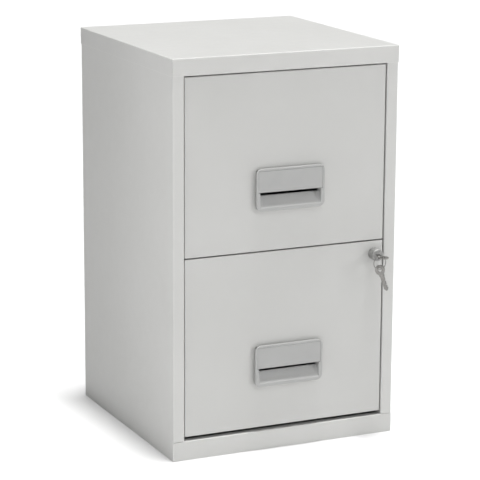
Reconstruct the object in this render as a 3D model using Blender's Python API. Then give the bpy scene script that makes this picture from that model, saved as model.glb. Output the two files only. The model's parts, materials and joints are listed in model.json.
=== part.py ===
"""Two-drawer metal filing cabinet with a corner lock, as its separate pieces.

Frame: metres, +Z up. The drawers face -Y, and +X is to the right of someone who
faces them. The origin is the centre of the footprint, on the floor.
Sheet pieces are drawn as the middle surface of the steel and thickened to SHEET.
"""
import math

import bmesh
import bpy
from mathutils import Matrix, Vector

MM = 0.001

# Driving dimensions of the cabinet
WIDTH = 400 * MM
DEPTH = 400 * MM
HEIGHT = 655 * MM
CUT_MARGIN = 1 * MM
SHEET = 0.8 * MM
FOLD_RADIUS = 1.2 * MM
AIR = 0.3 * MM

# Carcass
CASE_X = WIDTH / 2 - SHEET - AIR
CASE_Y = DEPTH / 2 - SHEET - AIR
STILE_WIDTH = 19.7 * MM
STILE_DEPTH = 17.6 * MM
SKIRT_DEPTH = 28.2 * MM
SKIRT_SLIT = 0.6 * MM
PLINTH_HEIGHT = 32 * MM
BASE_LIP = 20 * MM

# Drawer fronts: bottom and top edge of each, and where they stand
FRONT_SPANS = {"lower": (38.4 * MM, 332.4 * MM), "upper": (334.4 * MM, 624.6 * MM)}
FRONT_HALF_WIDTH = 177.6 * MM
FRONT_RECESS = 2 * MM
FRONT_PAN_DEPTH = 13 * MM
FRONT_FACE_Y = -CASE_Y + FRONT_RECESS
FRONT_PAN_BACK_Y = FRONT_FACE_Y + FRONT_PAN_DEPTH
TRAVEL = 287 * MM

# Drawer box, its heights counted from the underside of its runner
RUNNER_RISE = 9.6 * MM
FILE_HALF_WIDTH = 165.2 * MM
BOX_REAR_Y = 164 * MM
FLOOR_RISE = 4.4 * MM
FLOOR_EDGE = 4 * MM
FLOOR_FRONT_GAP = 1.3 * MM
WALL_RISE = 250.6 * MM
BACK_RISE = 200 * MM
LIP = 10 * MM
HEM_REACH = 3.2 * MM
HEM_DROP = 8 * MM
WALL_NOTCH_RISE = 237 * MM
WALL_NOTCH_REAR_Y = -170 * MM

# Roller runners
RUNNER_HEIGHT = 25.8 * MM
RUNNER_WEB_X = 178.3 * MM
RUNNER_LIP_X = 168.4 * MM
RUNNER_FRONT_Y = -176 * MM
RUNNER_REAR_Y = 190 * MM
BRACKET_YS = (-130 * MM, 130 * MM)
RAIL_WEB_X = FILE_HALF_WIDTH + SHEET + AIR + SHEET / 2
RAIL_LIP_X = 177 * MM
ROLLER_RADIUS = 11 * MM
ROLLER_WIDTH = 7 * MM
ROLLER_BORE = 3 * MM
AXLE_RADIUS = 2.9 * MM
AXLE_HEAD_RADIUS = 4.6 * MM
FRONT_ROLLER_Y = -160 * MM
REAR_ROLLER_Y = FRONT_ROLLER_Y + 2 * ROLLER_RADIUS + 3 * MM + TRAVEL
FRONT_ROLLER_X = 173.2 * MM
REAR_ROLLER_X = 171.7 * MM

# Handle, its heights counted from its own centre
HANDLE_X = 4.6 * MM
HANDLE_DROP = 188.8 * MM
HANDLE_HALF_WIDTH = 61 * MM
HANDLE_HALF_HEIGHT = 34.8 * MM
HANDLE_CORNER = 10 * MM
HANDLE_PROUD = 8 * MM
HANDLE_FACE_Y = FRONT_FACE_Y - HANDLE_PROUD
WINDOW_HALF_WIDTH = 57 * MM
RECESS_HALF_WIDTH = 54 * MM
WINDOW_TOP = 31 * MM
LIP_TOP = -28.5 * MM
HOOD_EDGE = -4.45 * MM
RAMP_DEPTH = 18 * MM
RAMP_TOP = -12.4 * MM
PLASTIC_WALL = 2.4 * MM
HOOD_LIP_DEPTH = 8 * MM
RAMP_KNEE_SHARE = 0.6
RAMP_KNEE_DROP = 7.6 * MM
WINDOW_PLAY = 1 * MM

# Lock, on the lower drawer's front
LOCK_X = 161 * MM
LOCK_Z = FRONT_SPANS["lower"][1] - 21.4 * MM
LOCK_PROUD = 16 * MM
LOCK_FACE_Y = FRONT_FACE_Y - LOCK_PROUD
BARREL_RADIUS = 10 * MM
SHANK_RADIUS = 8.6 * MM
PLUG_RADIUS = 6.3 * MM
PLUG_REAR_Y = -183.6 * MM
CAM_FRONT_Y = -180.8 * MM
CAM_THICKNESS = 2 * MM
CAM_REACH = 16 * MM
CAM_HUB_RADIUS = 6 * MM
CAM_TIP_RADIUS = 4 * MM
NUT_CIRCLE = 12.4 * MM
NUT_THICKNESS = 4 * MM
KEYWAY_DEPTH = 17 * MM
SPIGOT_HALF = 3 * MM
SCREW_RADIUS = 1.5 * MM
SCREW_HEAD_RADIUS = 4.6 * MM
SCREW_HEAD_HEIGHT = 2 * MM
KEY_TURN = math.radians(90)

# Lock bar, which rises behind the right stile
BAR_X = (184 * MM, 190 * MM)
BAR_Y = (-180.4 * MM, -178.4 * MM)
BAR_Z = (212 * MM, 548 * MM)
BAR_PLAY = 1.3 * MM
TAB_HEIGHT = 8 * MM
TAB_X = 170 * MM
ARM_X = LOCK_X + 13.5 * MM
TAB_RISE = 178 * MM
CATCH_RISE = 194 * MM
CATCH_HEIGHT = 20 * MM
CATCH_YS = (-176.2 * MM, -158 * MM)
GUIDE_ZS = (275 * MM, 480 * MM)

# Keys and ring
BOW_RADIUS = 8.5 * MM
BOW_HOLE = 3.25 * MM
KEY_THICKNESS = 2 * MM
BLADE_HALF_WIDTH = 3.6 * MM
BLADE_LENGTH = 27 * MM
KEY_HOLE_Y = LOCK_FACE_Y - 19 * MM
RING_RADIUS = 11 * MM
WIRE_RADIUS = 0.9 * MM
RING_OFFSET = Vector((-6.75 * MM, 0, -7.75 * MM))
RING_PIVOT_OFFSET = Vector((-5.25 * MM, 0, -0.35 * MM))
SPARE_HANG = 1.1 * MM
SPARE_TILT = math.radians(22)
SPARE_TURN = math.radians(-50)

# The two axes across each axis
OTHER_AXES = {"X": (1, 2), "Y": (0, 2), "Z": (0, 1)}


def clear_scene():
    for old in list(bpy.data.objects):
        bpy.data.objects.remove(old)


# ---------------------------------------------------------------- materials

def principled(name, colour, metallic, roughness):
    material = bpy.data.materials.new(name)
    material.use_nodes = True
    shader = material.node_tree.nodes["Principled BSDF"]
    shader.inputs["Base Color"].default_value = (*colour, 1)
    shader.inputs["Metallic"].default_value = metallic
    shader.inputs["Roughness"].default_value = roughness
    return material


def make_materials():
    return {
        "powder_coat": principled("powder_coat", (0.60, 0.60, 0.585), 0.0, 0.45),
        "zinc_steel": principled("zinc_steel", (0.62, 0.62, 0.62), 1.0, 0.38),
        "handle_plastic": principled("handle_plastic", (0.45, 0.45, 0.44), 0.0, 0.5),
        "nylon": principled("nylon", (0.86, 0.85, 0.80), 0.0, 0.4),
        "lock_metal": principled("lock_metal", (0.55, 0.55, 0.54), 1.0, 0.3),
        "key_steel": principled("key_steel", (0.70, 0.69, 0.67), 1.0, 0.25),
    }


# ---------------------------------------------------------------- shape tools

def finish_mesh(name, bm, material=None, smooth=False):
    """Make an object of a bmesh, with its faces turned outward."""
    bmesh.ops.recalc_face_normals(bm, faces=bm.faces)
    mesh = bpy.data.meshes.new(name)
    bm.to_mesh(mesh)
    bm.free()
    if smooth:
        mesh.shade_smooth()
        mesh.set_sharp_from_angle(angle=math.radians(35))
    obj = bpy.data.objects.new(name, mesh)
    bpy.context.scene.collection.objects.link(obj)
    if material:
        mesh.materials.append(material)
    return obj


def point_on(axis, pair, along):
    """A point from its two coordinates across an axis and the one along it."""
    point = Vector((along, along, along))
    first, second = OTHER_AXES[axis]
    point[first] = pair[0]
    point[second] = pair[1]
    return point


def box(name, low, high, material=None):
    bm = bmesh.new()
    bmesh.ops.create_cube(bm, size=1)
    middle = (Vector(low) + Vector(high)) / 2
    size = Vector(high) - Vector(low)
    for vert in bm.verts:
        vert.co = Vector(vert.co[i] * size[i] + middle[i] for i in range(3))
    return finish_mesh(name, bm, material)


def prism(name, outline, axis, start, end, material=None):
    """A closed outline, given across an axis, drawn out along it."""
    bm = bmesh.new()
    first = [bm.verts.new(point_on(axis, pair, start)) for pair in outline]
    last = [bm.verts.new(point_on(axis, pair, end)) for pair in outline]
    bm.faces.new(first)
    bm.faces.new(reversed(last))
    for i in range(len(outline)):
        j = (i + 1) % len(outline)
        bm.faces.new((first[i], first[j], last[j], last[i]))
    return finish_mesh(name, bm, material)


def arc(centre, radius, start, end, steps):
    """Points of an arc, from one angle to another, both ends included."""
    angles = [start + (end - start) * i / steps for i in range(steps + 1)]
    return [(centre[0] + radius * math.cos(a), centre[1] + radius * math.sin(a)) for a in angles]


def folded_path(corners, radius, steps=2):
    """The corners' path with each inner corner rounded."""
    points = [Vector(corners[0])]
    for before, corner, after in zip(corners, corners[1:], corners[2:]):
        corner = Vector(corner)
        back = (Vector(before) - corner).normalized()
        ahead = (Vector(after) - corner).normalized()
        half = back.angle(ahead) / 2
        reach = radius / math.tan(half)
        centre = corner + (back + ahead).normalized() * (radius / math.sin(half))
        swing_from = corner + back * reach - centre
        swing_to = corner + ahead * reach - centre
        for i in range(steps + 1):
            blend = swing_from.lerp(swing_to, i / steps).normalized() * radius
            points.append(centre + blend)
    points.append(Vector(corners[-1]))
    return points


def thicken(obj, thickness, offset):
    solidify = obj.modifiers.new("sheet", "SOLIDIFY")
    solidify.thickness = thickness
    solidify.offset = offset
    solidify.use_even_offset = True
    return obj


def folded_sheet(name, corners, axis, start, end, material=None):
    """Sheet steel folded along a path, which runs in the middle of its thickness."""
    bm = bmesh.new()
    path = folded_path(corners, FOLD_RADIUS)
    first = [bm.verts.new(point_on(axis, pair, start)) for pair in path]
    last = [bm.verts.new(point_on(axis, pair, end)) for pair in path]
    for i in range(len(path) - 1):
        bm.faces.new((first[i], first[i + 1], last[i + 1], last[i]))
    return thicken(finish_mesh(name, bm, material), SHEET, 0)


def pan(name, low, high, open_side, material):
    """A sheet box with rounded folds and one side open: (axis number, -1 or 1)."""
    bm = bmesh.new()
    bmesh.ops.create_cube(bm, size=1)
    axis, sign = open_side
    bmesh.ops.delete(bm, geom=[f for f in bm.faces if f.normal[axis] * sign > 0.5], context="FACES")
    middle = (Vector(low) + Vector(high)) / 2
    size = Vector(high) - Vector(low)
    for vert in bm.verts:
        vert.co = Vector(vert.co[i] * size[i] + middle[i] for i in range(3))
    folds = [edge for edge in bm.edges if not edge.is_boundary]
    bmesh.ops.bevel(bm, geom=folds, offset=2 * SHEET, segments=3, profile=0.5, affect="EDGES")
    return thicken(finish_mesh(name, bm, material), SHEET, -1)


def turned(name, profile, axis, centre, sides, material=None):
    """A turned piece. Profile points are (radius, place along the axis).

    A profile whose two ends meet is a ring with a bore; any other is closed by
    a flat cap at each end.
    """
    bored = profile[0] == profile[-1]
    points = profile[:-1] if bored else profile
    bm = bmesh.new()
    rings = []
    for i in range(sides):
        angle = 2 * math.pi * (i + 0.5) / sides
        spoke = (math.cos(angle), math.sin(angle))
        rings.append([bm.verts.new(point_on(axis, (r * spoke[0], r * spoke[1]), t)) for r, t in points])
    for i in range(sides):
        this, following = rings[i], rings[(i + 1) % sides]
        for j in range(len(points) if bored else len(points) - 1):
            k = (j + 1) % len(points)
            bm.faces.new((this[j], following[j], following[k], this[k]))
    if not bored:
        bm.faces.new([ring[0] for ring in rings])
        bm.faces.new([ring[-1] for ring in rings])
    obj = finish_mesh(name, bm, material, smooth=True)
    obj.location = centre
    return obj


def rod(name, radius, axis, centre, start, end, sides=24):
    return turned(name, [(radius, start), (radius, end)], axis, centre, sides)


def hide_as_guide(obj):
    obj.hide_render = True
    obj.display_type = "WIRE"


def combine(obj, other, operation):
    """Cut the other shape from the object, or join it on, and keep it as a guide."""
    hide_as_guide(other)
    boolean = obj.modifiers.new(other.name, "BOOLEAN")
    boolean.operation = operation
    boolean.solver = "EXACT"
    boolean.object = other
    return obj


def cut(obj, cutter):
    return combine(obj, cutter, "DIFFERENCE")


def join(obj, extra):
    return combine(obj, extra, "UNION")


def pivot(name, place):
    """An empty on a joint's axis, which carries the pieces of one moving body."""
    empty = bpy.data.objects.new(name, None)
    empty.location = place
    empty.empty_display_size = 20 * MM
    bpy.context.scene.collection.objects.link(empty)
    return empty


def carry(empty, pieces):
    for piece in pieces:
        piece.parent = empty
        piece.matrix_parent_inverse = Matrix.Translation(-Vector(empty.location))


def mirrored(pairs, side):
    """The pairs with their first coordinate on the left (-1) or the right (1)."""
    return [(side * first, second) for first, second in pairs]


def span(a, b):
    return (min(a, b), max(a, b))


# ---------------------------------------------------------------- carcass

def side_panel(side, label, coat):
    """Side, front stile with its return, and rear flange, in one folded sheet."""
    skin = SHEET / 2
    stile_edge = CASE_X - STILE_WIDTH + skin
    outline = [
        (stile_edge, -CASE_Y + STILE_DEPTH),
        (stile_edge, -CASE_Y + skin),
        (CASE_X - skin, -CASE_Y + skin),
        (CASE_X - skin, CASE_Y - skin),
        (CASE_X - 18 * MM, CASE_Y - skin),
    ]
    top = HEIGHT - SHEET - AIR
    panel = folded_sheet(f"side_panel_{label}", mirrored(outline, side), "Z", 0, top, coat)
    cuts = (
        ("stile_foot", WIDTH / 2, -CASE_Y + SHEET + AIR),
        ("return_foot", CASE_X - 5 * MM, -CASE_Y + 30 * MM),
    )
    for word, reach, rear in cuts:
        near, far = span(side * (stile_edge - 5 * MM), side * reach)
        low = (near, -DEPTH / 2, -1 * MM)
        cut(panel, box(f"{word}_{label}", low, (far, rear, PLINTH_HEIGHT + AIR)))
    return panel


def back_panel(coat):
    """Plain sheet inside the side panels' rear flanges."""
    x = CASE_X - SHEET - 0.5 * MM
    outer = CASE_Y - SHEET - AIR
    return box("back_panel", (-x, outer - SHEET, AIR), (x, outer, HEIGHT - SHEET - AIR), coat)


def top_lid(coat):
    """Folded cap over the case, open at its four corners."""
    low = (-WIDTH / 2, -DEPTH / 2, HEIGHT - SKIRT_DEPTH)
    lid = pan("top_lid", low, (WIDTH / 2, DEPTH / 2, HEIGHT), (2, -1), coat)
    reach = 4 * MM
    for x in (-1, 1):
        for y in (-1, 1):
            half = SKIRT_SLIT / 2
            slit = box(f"slit_{x}_{y}", (-reach, -half, -SKIRT_DEPTH), (reach, half, 0))
            slit.location = (x * WIDTH / 2, y * DEPTH / 2, HEIGHT - 4 * SHEET)
            slit.rotation_euler.z = math.radians(45) * x * y
            cut(lid, slit)
    return lid


def header_rail(coat):
    """Channel across the front, behind the lid's skirt."""
    x = CASE_X - STILE_WIDTH - AIR
    front = -CASE_Y + SHEET / 2
    top = HEIGHT - SHEET - AIR - SHEET / 2
    low = HEIGHT - SKIRT_DEPTH + 2 * MM
    path = [(front + 14 * MM, low), (front, low), (front, top), (front + 14 * MM, top)]
    return folded_sheet("header_rail", path, "X", -x, x, coat)


def base_panel(coat):
    """Tray that closes the underside and stands on the floor."""
    x = CASE_X - 2 * SHEET - 2.4 * AIR - 0.5 * MM
    front = -CASE_Y + 2 * SHEET
    rear = CASE_Y - 2 * SHEET - 2 * AIR
    return pan("base_panel", (-x, front, 0), (x, rear, BASE_LIP), (2, 1), coat)


def plinth_rail(coat):
    """Full-width front rail below the lower drawer, with a shelf along its top."""
    skin = SHEET / 2
    path = [
        (-CASE_Y + skin, AIR),
        (-CASE_Y + skin, PLINTH_HEIGHT - skin),
        (-CASE_Y + 14 * MM, PLINTH_HEIGHT - skin),
        (-CASE_Y + 14 * MM, BASE_LIP + 4 * MM),
    ]
    rail = folded_sheet("plinth_rail", path, "X", -CASE_X, CASE_X, coat)
    for side, label in ((-1, "left"), (1, "right")):
        x = span(side * (CASE_X + 1 * MM), side * (CASE_X - SHEET - 0.5 * MM))
        end = box(
            f"plinth_end_{label}",
            (x[0], -CASE_Y + SHEET + 0.2 * AIR, -1 * MM),
            (x[1], -CASE_Y + 20 * MM, PLINTH_HEIGHT + 1 * MM),
        )
        cut(rail, end)
    return rail


def make_carcass(coat):
    return [
        side_panel(-1, "left", coat),
        side_panel(1, "right", coat),
        back_panel(coat),
        top_lid(coat),
        header_rail(coat),
        base_panel(coat),
        plinth_rail(coat),
    ]


# ---------------------------------------------------------------- runners

def runner_base(level):
    """Height of the underside of a drawer's runners."""
    return FRONT_SPANS[level][0] + RUNNER_RISE


def rear_roller_z(level):
    return runner_base(level) + SHEET + AIR + ROLLER_RADIUS


def front_roller_z(level):
    return rear_roller_z(level) + 0.1 * MM


def rail_lip_z(level):
    """Middle of the drawer rail's lip, which runs over both rollers."""
    return rear_roller_z(level) + ROLLER_RADIUS + 0.4 * MM + SHEET / 2


def headed_axle(name, side, start_x, head_x, y, z):
    """Riveted axle from a web out to its head, along X."""
    inner = [(AXLE_RADIUS, start_x), (AXLE_RADIUS, head_x)]
    step = math.copysign(1.1 * MM, head_x - start_x)
    outer = [(AXLE_HEAD_RADIUS, head_x), (AXLE_HEAD_RADIUS, head_x + step)]
    profile = [(radius, side * x) for radius, x in inner + outer]
    return turned(name, profile, "X", (0, y, z), 24)


def runner(level, side, label, steel):
    """Channel on two brackets, with the axle of its front roller."""
    low = runner_base(level)
    skin = SHEET / 2
    section = [
        (RUNNER_LIP_X, low + skin),
        (RUNNER_WEB_X, low + skin),
        (RUNNER_WEB_X, low + RUNNER_HEIGHT - skin),
        (RUNNER_LIP_X, low + RUNNER_HEIGHT - skin),
    ]
    name = f"runner_{level}_{label}"
    channel = folded_sheet(name, mirrored(section, side), "Y", RUNNER_FRONT_Y, RUNNER_REAR_Y, steel)
    foot_x = CASE_X - SHEET - 0.4 * MM - skin
    web_x = RUNNER_WEB_X + 0.7 * SHEET
    for number, y in enumerate(BRACKET_YS):
        path = [(foot_x, y - 14 * MM), (foot_x, y), (web_x, y), (web_x, y + 14 * MM)]
        bracket = folded_sheet(
            f"{name}_bracket_{number}", mirrored(path, side), "Z", low + 5 * MM, low + 20 * MM
        )
        join(channel, bracket)
    head_x = FRONT_ROLLER_X - ROLLER_WIDTH / 2 - AIR
    axle = headed_axle(f"{name}_axle", side, RUNNER_WEB_X, head_x, FRONT_ROLLER_Y, front_roller_z(level))
    return join(channel, axle)


def drawer_rail(level, side, label, steel):
    """Angle on the drawer's side whose lip rides over the rollers, with the rear roller's axle."""
    section = [
        (RAIL_WEB_X, runner_base(level) + 4 * MM),
        (RAIL_WEB_X, rail_lip_z(level)),
        (RAIL_LIP_X, rail_lip_z(level)),
    ]
    name = f"{level}_rail_{label}"
    front = FRONT_PAN_BACK_Y + 0.6 * MM
    rail = folded_sheet(name, mirrored(section, side), "Y", front, BOX_REAR_Y, steel)
    head_x = REAR_ROLLER_X + ROLLER_WIDTH / 2 + AIR
    axle = headed_axle(f"{name}_axle", side, RAIL_WEB_X, head_x, REAR_ROLLER_Y, rear_roller_z(level))
    return join(rail, axle)


def roller(name, x, y, z, nylon):
    half = ROLLER_WIDTH / 2
    rim = 1 * MM
    profile = [
        (ROLLER_BORE, -half),
        (ROLLER_RADIUS - rim, -half),
        (ROLLER_RADIUS, -half + rim),
        (ROLLER_RADIUS, half - rim),
        (ROLLER_RADIUS - rim, half),
        (ROLLER_BORE, half),
        (ROLLER_BORE, -half),
    ]
    return turned(name, profile, "X", (x, y, z), 24, nylon)


# ---------------------------------------------------------------- drawers

def rounded_rectangle(half_width, half_height, radius, steps=4):
    points = []
    for quarter, (x, z) in enumerate(((1, 1), (-1, 1), (-1, -1), (1, -1))):
        centre = (x * (half_width - radius), z * (half_height - radius))
        start = quarter * math.pi / 2
        points += arc(centre, radius, start, start + math.pi / 2, steps)
    return points


def handle_z(level):
    return FRONT_SPANS[level][1] - HANDLE_DROP


def drawer_front(level, coat):
    """Front pan with the handle's opening, and the lock's hole on the lower one."""
    bottom, top = FRONT_SPANS[level]
    low = (-FRONT_HALF_WIDTH, FRONT_FACE_Y, bottom)
    front = pan(f"{level}_front", low, (FRONT_HALF_WIDTH, FRONT_PAN_BACK_Y, top), (1, 1), coat)
    z = handle_z(level)
    opening = box(
        f"{level}_front_opening",
        (HANDLE_X - WINDOW_HALF_WIDTH - WINDOW_PLAY, FRONT_FACE_Y - 2 * MM, z + LIP_TOP - 2.5 * MM),
        (HANDLE_X + WINDOW_HALF_WIDTH + WINDOW_PLAY, FRONT_FACE_Y + 2 * MM, z + WINDOW_TOP),
    )
    cut(front, opening)
    if level == "lower":
        hole = rod("lock_hole", SHANK_RADIUS + 0.4 * MM, "Y", (LOCK_X, FRONT_FACE_Y, LOCK_Z),
                   -3 * MM, 3 * MM)
        cut(front, hole)
    return front


def drawer_wall(level, side, label, coat):
    """Side wall whose folded top edge carries hanging files, notched for the lock."""
    base = runner_base(level)
    x = FILE_HALF_WIDTH + SHEET / 2
    top = base + WALL_RISE
    section = [
        (x, base + 1 * MM),
        (x, top),
        (x + HEM_REACH, top),
        (x + HEM_REACH, top - HEM_DROP),
    ]
    front = FRONT_FACE_Y + SHEET + AIR
    wall = folded_sheet(f"{level}_wall_{label}", mirrored(section, side), "Y", front, BOX_REAR_Y, coat)
    near, far = span(side * (x - 5 * MM), side * (x + 10 * MM))
    notch = box(
        f"{level}_notch_{label}",
        (near, front - CUT_MARGIN, base + WALL_NOTCH_RISE),
        (far, WALL_NOTCH_REAR_Y, top + 5 * MM),
    )
    return cut(wall, notch)


def drawer_floor(level, coat):
    """Sheet between the walls, its edges turned down."""
    x = FILE_HALF_WIDTH - AIR
    top = runner_base(level) + FLOOR_RISE + SHEET
    low = (-x, FRONT_FACE_Y + SHEET + FLOOR_FRONT_GAP, top - FLOOR_EDGE)
    high = (x, BOX_REAR_Y - LIP - AIR, top)
    return pan(f"{level}_floor", low, high, (2, -1), coat)


def drawer_back(level, coat):
    """Back pan, its folded edges turned forward."""
    x = FILE_HALF_WIDTH - AIR
    z = runner_base(level) + FLOOR_RISE
    low = (-x, BOX_REAR_Y - LIP, z)
    return pan(f"{level}_back", low, (x, BOX_REAR_Y, z + BACK_RISE), (1, -1), coat)


def lock_catch(level, steel):
    """Angle on the drawer's right side that the lock bar's tab blocks."""
    low = runner_base(level) + CATCH_RISE
    front, rear = CATCH_YS
    path = [(TAB_X + 6.6 * MM, front), (RAIL_WEB_X, front), (RAIL_WEB_X, rear)]
    return folded_sheet(f"{level}_lock_catch", path, "Z", low, low + CATCH_HEIGHT, steel)


def make_drawer(level, mats):
    coat = mats["powder_coat"]
    steel = mats["zinc_steel"]
    pieces = [
        drawer_front(level, coat),
        drawer_floor(level, coat),
        drawer_back(level, coat),
        lock_catch(level, steel),
        handle_housing(level, mats["handle_plastic"]),
        handle_hood(level, mats["handle_plastic"]),
    ]
    for side, label in ((-1, "left"), (1, "right")):
        pieces.append(drawer_wall(level, side, label, coat))
        pieces.append(drawer_rail(level, side, label, steel))
    return pieces


# ---------------------------------------------------------------- handle

def handle_housing(level, plastic):
    """Raised surround with a ramp that leads the fingers up behind the hood."""
    z = handle_z(level)
    name = f"{level}_handle_housing"
    outline = rounded_rectangle(HANDLE_HALF_WIDTH, HANDLE_HALF_HEIGHT, HANDLE_CORNER)
    base = FRONT_FACE_Y - AIR
    bm = bmesh.new()
    rings = []
    steps = ((0, base), (0, HANDLE_FACE_Y + 2 * MM), (0.6 * MM, HANDLE_FACE_Y + 0.6 * MM),
             (2 * MM, HANDLE_FACE_Y))
    for inset, y in steps:
        shape = rounded_rectangle(
            HANDLE_HALF_WIDTH - inset, HANDLE_HALF_HEIGHT - inset, HANDLE_CORNER - inset
        )
        rings.append([bm.verts.new((HANDLE_X + px, y, z + pz)) for px, pz in shape])
    for ring, following in zip(rings, rings[1:]):
        for i in range(len(outline)):
            j = (i + 1) % len(outline)
            bm.faces.new((ring[i], ring[j], following[j], following[i]))
    bm.faces.new(rings[0])
    bm.faces.new(rings[-1])
    housing = finish_mesh(name, bm, plastic)
    window = box(
        f"{name}_window",
        (HANDLE_X - WINDOW_HALF_WIDTH, HANDLE_FACE_Y - CUT_MARGIN, z + LIP_TOP),
        (HANDLE_X + WINDOW_HALF_WIDTH, base + CUT_MARGIN, z + WINDOW_TOP),
    )
    cut(housing, window)
    rear = HANDLE_FACE_Y + RAMP_DEPTH
    knee_y = HANDLE_FACE_Y + RAMP_KNEE_SHARE * RAMP_DEPTH
    knee_z = z + RAMP_TOP - RAMP_KNEE_DROP
    slope = [
        (HANDLE_FACE_Y + 1 * MM, z + LIP_TOP - 2 * MM),
        (HANDLE_FACE_Y + 1 * MM, z + LIP_TOP + 0.4 * MM),
        (knee_y, knee_z),
        (rear, z + RAMP_TOP),
        (rear, z + RAMP_TOP - PLASTIC_WALL),
        (knee_y, knee_z - PLASTIC_WALL),
    ]
    reach = WINDOW_HALF_WIDTH + 0.5 * MM
    join(housing, prism(f"{name}_ramp", slope, "X", HANDLE_X - reach, HANDLE_X + reach))
    cheek = [
        (HANDLE_FACE_Y + 1.4 * MM, z + LIP_TOP - 1 * MM),
        (rear - 0.4 * MM, z + RAMP_TOP - 1 * MM),
        (rear - 0.4 * MM, z + HOOD_EDGE - AIR),
        (HANDLE_FACE_Y + 1.4 * MM, z + HOOD_EDGE - AIR),
    ]
    for side, label in ((-1, "left"), (1, "right")):
        start, end = span(side * RECESS_HALF_WIDTH, side * (WINDOW_HALF_WIDTH + 0.4 * MM))
        plate = prism(f"{name}_cheek_{label}", cheek, "X", HANDLE_X + start, HANDLE_X + end)
        join(housing, plate)
    return housing


def handle_hood(level, plastic):
    """Panel that fills the surround above the recess, with a lip turned in to grip."""
    z = handle_z(level)
    face = HANDLE_FACE_Y + AIR
    section = [
        (face + 0.8 * MM, z + HOOD_EDGE),
        (face + HOOD_LIP_DEPTH, z + HOOD_EDGE),
        (face + HOOD_LIP_DEPTH, z + HOOD_EDGE + PLASTIC_WALL),
        (face + PLASTIC_WALL, z + HOOD_EDGE + PLASTIC_WALL),
        (face + PLASTIC_WALL, z + WINDOW_TOP - AIR),
        (face, z + WINDOW_TOP - AIR),
        (face, z + HOOD_EDGE + 0.8 * MM),
    ]
    reach = WINDOW_HALF_WIDTH - AIR
    start, end = HANDLE_X - reach, HANDLE_X + reach
    return prism(f"{level}_handle_hood", section, "X", start, end, plastic)


# ---------------------------------------------------------------- lock

def lock_barrel(metal):
    """Fixed body: the round head outside the front and the shank through it."""
    shank_end = PLUG_REAR_Y - FRONT_FACE_Y
    bore = PLUG_RADIUS + 0.1 * MM
    profile = [
        (bore, -LOCK_PROUD),
        (BARREL_RADIUS - 1 * MM, -LOCK_PROUD),
        (BARREL_RADIUS, -LOCK_PROUD + 1 * MM),
        (BARREL_RADIUS, -AIR),
        (SHANK_RADIUS, -AIR),
        (SHANK_RADIUS, shank_end),
        (bore, shank_end),
        (bore, -LOCK_PROUD),
    ]
    return turned("lock_barrel", profile, "Y", (LOCK_X, FRONT_FACE_Y, LOCK_Z), 32, metal)


def lock_nut(metal):
    """Hexagonal nut that clamps the barrel to the front."""
    start = SHEET + AIR
    bore = SHANK_RADIUS + 0.1 * MM
    nut = turned("lock_nut", [(NUT_CIRCLE, start), (NUT_CIRCLE, start + NUT_THICKNESS)], "Y",
                 (LOCK_X, FRONT_FACE_Y, LOCK_Z), 6, metal)
    return cut(nut, rod("nut_bore", bore, "Y", (LOCK_X, FRONT_FACE_Y, LOCK_Z), 0, 8 * MM, 32))


def lock_plug(metal):
    """Turning plug with a level keyway in front and a square spigot behind."""
    centre = Vector((LOCK_X, 0, LOCK_Z))
    face = LOCK_FACE_Y + 0.4 * MM
    profile = [
        (PLUG_RADIUS - 0.5 * MM, face),
        (PLUG_RADIUS, face + 0.5 * MM),
        (PLUG_RADIUS, PLUG_REAR_Y),
    ]
    plug = turned("lock_plug", profile, "Y", centre, 32, metal)
    spigot = box("plug_spigot", (-SPIGOT_HALF, PLUG_REAR_Y - CUT_MARGIN, -SPIGOT_HALF),
                 (SPIGOT_HALF, CAM_FRONT_Y + CAM_THICKNESS, SPIGOT_HALF))
    spigot.location = centre
    join(plug, spigot)
    half = BLADE_HALF_WIDTH + AIR
    thick = KEY_THICKNESS / 2 + AIR
    keyway = box("keyway", (-half, face - CUT_MARGIN, -thick), (half, face + KEYWAY_DEPTH, thick))
    keyway.location = centre
    cut(plug, keyway)
    thread = rod("plug_thread_hole", 1.8 * MM, "Y", centre, CAM_FRONT_Y - 2 * MM, -175 * MM, 16)
    return cut(plug, thread)


def lock_cam(metal):
    """Finger on the plug's spigot. Unlocked it points down and right, locked up and right."""
    lean = math.acos((CAM_HUB_RADIUS - CAM_TIP_RADIUS) / CAM_REACH)
    tip = (CAM_REACH, 0)
    outline = arc((0, 0), CAM_HUB_RADIUS, lean, 2 * math.pi - lean, 12)
    outline += arc(tip, CAM_TIP_RADIUS, -lean, lean, 8)
    turn = Matrix.Rotation(-KEY_TURN / 2, 2)
    outline = [turn @ Vector(point) for point in outline]
    outline = [(LOCK_X + point.x, LOCK_Z + point.y) for point in outline]
    cam = prism("lock_cam", outline, "Y", CAM_FRONT_Y, CAM_FRONT_Y + CAM_THICKNESS, metal)
    half = SPIGOT_HALF + AIR
    hole = box("cam_hole", (-half, CAM_FRONT_Y - CUT_MARGIN, -half),
               (half, CAM_FRONT_Y + CAM_THICKNESS + CUT_MARGIN, half))
    hole.location = (LOCK_X, 0, LOCK_Z)
    return cut(cam, hole)


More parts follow.
